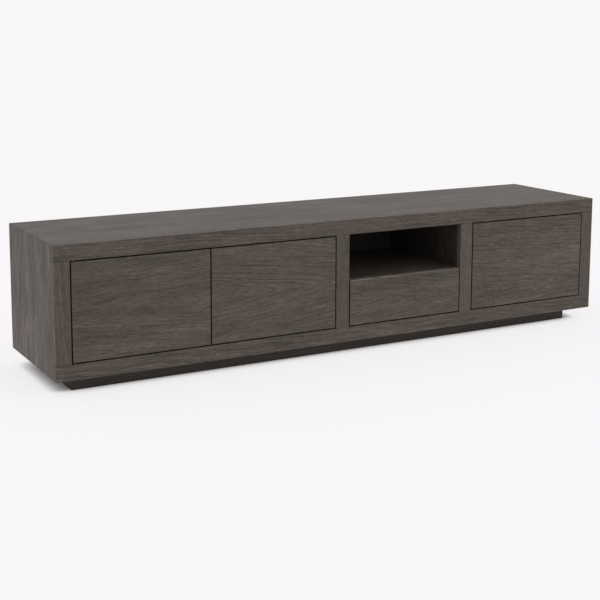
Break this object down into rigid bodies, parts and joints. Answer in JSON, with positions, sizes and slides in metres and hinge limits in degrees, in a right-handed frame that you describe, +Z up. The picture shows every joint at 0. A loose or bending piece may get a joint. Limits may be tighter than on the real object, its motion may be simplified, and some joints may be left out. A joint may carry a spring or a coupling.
{
  "type": "tv sideboard",
  "caption": "Low, long television sideboard in dark oak: inset push-to-open doors, an open niche above a drawer, on a recessed plinth.",
  "frame": {"origin": "on the floor, under the middle of the body", "axes": "+X along the length towards the viewer's right, +Y from the fronts to the wall, +Z up"},
  "size_m": [2, 0.44, 0.448],
  "materials": {
    "oak": "matt stained open-grain oak",
    "inner_oak": "matt stained oak veneer",
    "back_board": "matt dark veneered fibreboard",
    "plinth": "matt black-brown stain",
    "hinge_steel": "blackened",
    "runner_steel": "zinc-plated",
    "latch_plastic": "matt dark grey",
    "plunger": "matt grey"
  },
  "bodies": {
    "carcass": {"top_panel": "oak", "bottom_panel": "oak", "left_side_panel": "oak", "right_side_panel": "oak", "left_divider_panel": "oak", "right_divider_panel": "oak", "left_back_panel": "back_board", "middle_back_panel": "back_board", "right_back_panel": "back_board", "top_rail": "oak", "bottom_rail": "oak", "left_stile": "oak", "left_divider_stile": "oak", "right_divider_stile": "oak", "right_stile": "oak", "niche_shelf": "oak", "left_shelf": "inner_oak", "right_shelf": "inner_oak", "plinth_front": "plinth", "plinth_back": "plinth", "plinth_left": "plinth", "plinth_brace": "plinth", "plinth_right": "plinth", "left_door_top_plate": "hinge_steel", "left_door_bottom_plate": "hinge_steel", "middle_door_top_plate": "hinge_steel", "middle_door_bottom_plate": "hinge_steel", "right_door_top_plate": "hinge_steel", "right_door_bottom_plate": "hinge_steel", "left_door_latch_housing": "latch_plastic", "middle_door_latch_housing": "latch_plastic", "right_door_latch_housing": "latch_plastic", "drawer_latch_housing": "latch_plastic", "left_runner_outer": "runner_steel", "right_runner_outer": "runner_steel"},
    "left_door": {"left_door": "oak", "left_door_top_leaf": "hinge_steel", "left_door_bottom_leaf": "hinge_steel"},
    "middle_door": {"middle_door": "oak", "middle_door_top_leaf": "hinge_steel", "middle_door_bottom_leaf": "hinge_steel"},
    "right_door": {"right_door": "oak", "right_door_top_leaf": "hinge_steel", "right_door_bottom_leaf": "hinge_steel"},
    "drawer": {"drawer_front": "oak", "drawer_box_front": "inner_oak", "drawer_left_side": "inner_oak", "drawer_right_side": "inner_oak", "drawer_back": "inner_oak", "drawer_bottom": "inner_oak", "left_runner_inner": "runner_steel", "right_runner_inner": "runner_steel"},
    "left_runner_middle": {"left_runner_middle": "runner_steel"},
    "right_runner_middle": {"right_runner_middle": "runner_steel"},
    "left_door_latch_plunger": {"left_door_latch_plunger": "plunger"},
    "middle_door_latch_plunger": {"middle_door_latch_plunger": "plunger"},
    "right_door_latch_plunger": {"right_door_latch_plunger": "plunger"},
    "drawer_latch_plunger": {"drawer_latch_plunger": "plunger"}
  },
  "joints": [
    {"name": "left_door_hinge", "type": "hinge", "parent": "carcass", "child": "left_door", "pos_m": [-0.9404, -0.214, 0.0996], "axis": [0, 0, -1], "range_deg": [0, 95]},
    {"name": "middle_door_hinge", "type": "hinge", "parent": "carcass", "child": "middle_door", "pos_m": [-0.0816, -0.214, 0.0996], "axis": [0, 0, 1], "range_deg": [0, 95]},
    {"name": "right_door_hinge", "type": "hinge", "parent": "carcass", "child": "right_door", "pos_m": [0.9404, -0.214, 0.0996], "axis": [0, 0, 1], "range_deg": [0, 95]},
    {"name": "drawer_slide", "type": "slide", "parent": "carcass", "child": "drawer", "axis": [0, -1, 0], "range_m": [0, 0.3]},
    {"name": "left_runner_slide", "type": "slide", "parent": "carcass", "child": "left_runner_middle", "axis": [0, -1, 0], "range_m": [0, 0.15]},
    {"name": "right_runner_slide", "type": "slide", "parent": "carcass", "child": "right_runner_middle", "axis": [0, -1, 0], "range_m": [0, 0.15]},
    {"name": "left_door_latch_press", "type": "slide", "parent": "carcass", "child": "left_door_latch_plunger", "axis": [0, 1, 0], "range_m": [0, 0.0025], "stiffness_N_per_m": 300, "springref_m": -0.003},
    {"name": "middle_door_latch_press", "type": "slide", "parent": "carcass", "child": "middle_door_latch_plunger", "axis": [0, 1, 0], "range_m": [0, 0.0025], "stiffness_N_per_m": 300, "springref_m": -0.003},
    {"name": "right_door_latch_press", "type": "slide", "parent": "carcass", "child": "right_door_latch_plunger", "axis": [0, 1, 0], "range_m": [0, 0.0025], "stiffness_N_per_m": 300, "springref_m": -0.003},
    {"name": "drawer_latch_press", "type": "slide", "parent": "carcass", "child": "drawer_latch_plunger", "axis": [0, 1, 0], "range_m": [0, 0.0025], "stiffness_N_per_m": 300, "springref_m": -0.003}
  ],
  "couplings": [
    {"joint": "left_runner_slide", "follows": "drawer_slide", "ratio": 0.5},
    {"joint": "right_runner_slide", "follows": "drawer_slide", "ratio": 0.5}
  ]
}
